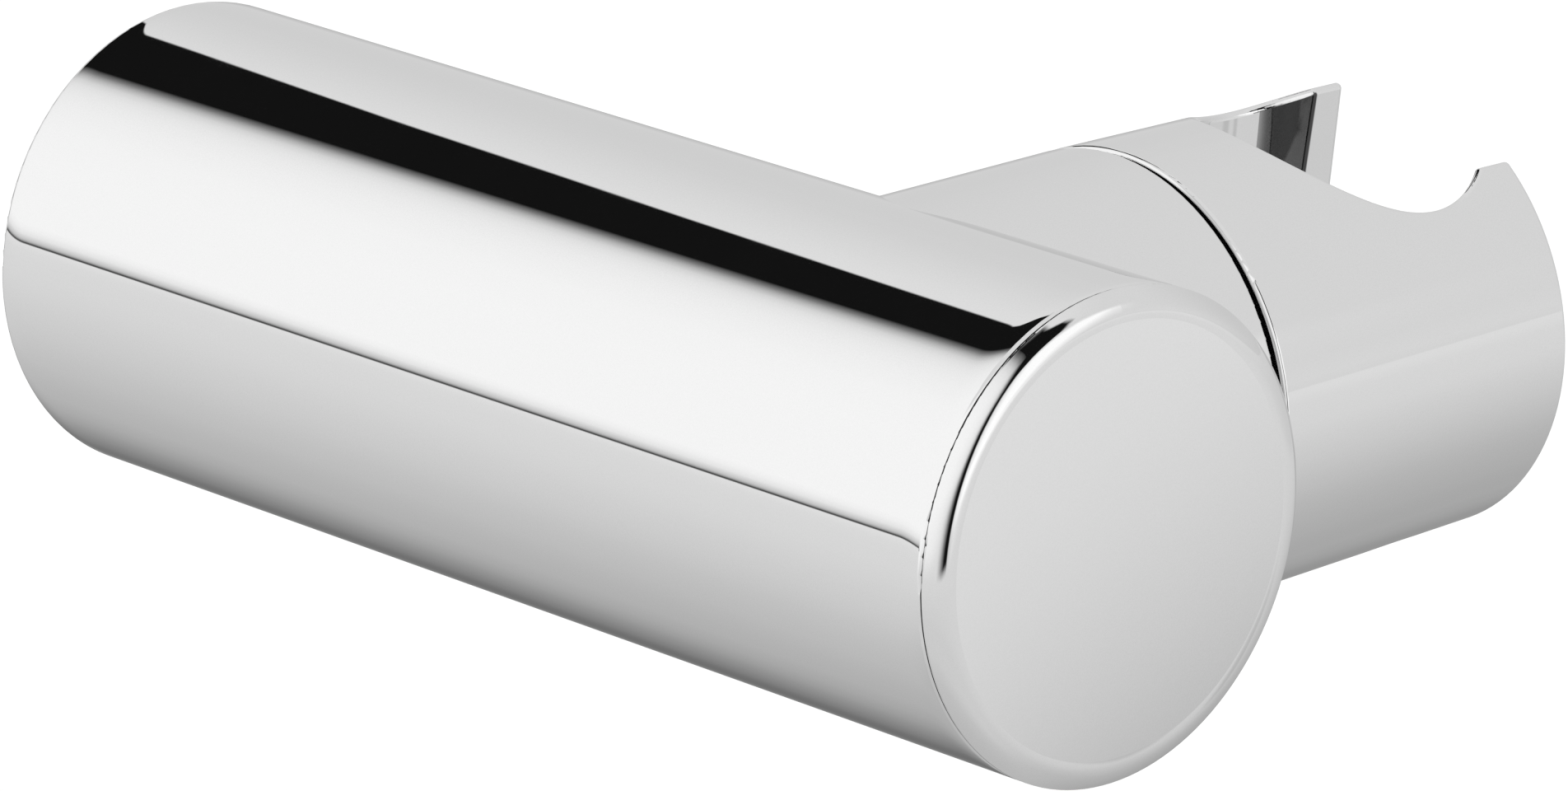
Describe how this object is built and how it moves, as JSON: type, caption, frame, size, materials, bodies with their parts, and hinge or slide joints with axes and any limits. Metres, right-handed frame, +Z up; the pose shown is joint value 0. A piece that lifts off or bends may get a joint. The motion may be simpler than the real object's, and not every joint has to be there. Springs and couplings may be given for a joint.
{
  "type": "hand shower bracket",
  "caption": "Round chrome wall arm with a side branch and a swivelling forked holder whose open conical seat takes a hand shower.",
  "frame": {"origin": "centre of the wall face, where the hub's gasket meets the wall", "axes": "+Y into the wall, so the arm runs along -Y towards the user; +X along the branch to the holder; +Z up"},
  "size_m": [0.0769, 0.1083, 0.038],
  "materials": {
    "polished_chrome": "mirror polished chrome plate",
    "plain_steel": "turned stainless steel",
    "black_rubber": "plain moulded rubber",
    "bearing_plastic": "natural acetal, matte"
  },
  "bodies": {
    "bracket": {"arm": "polished_chrome", "front_cap": "polished_chrome", "cap_o_ring": "black_rubber", "wall_hub": "plain_steel", "wall_gasket": "black_rubber", "grub_screw": "plain_steel", "pivot_bush": "bearing_plastic", "stop_pin": "plain_steel"},
    "fork": {"holder": "polished_chrome", "pivot_spindle": "plain_steel", "friction_disc": "bearing_plastic", "swivel_seal": "black_rubber", "thrust_washer": "plain_steel", "disc_spring_inner": "plain_steel", "disc_spring_outer": "plain_steel", "lock_nut": "plain_steel"}
  },
  "joints": [
    {"name": "holder_swivel", "type": "hinge", "parent": "bracket", "child": "fork", "pos_m": [0.0261, -0.0803, 0], "axis": [1, 0, 0], "range_deg": [-53, 37]}
  ]
}
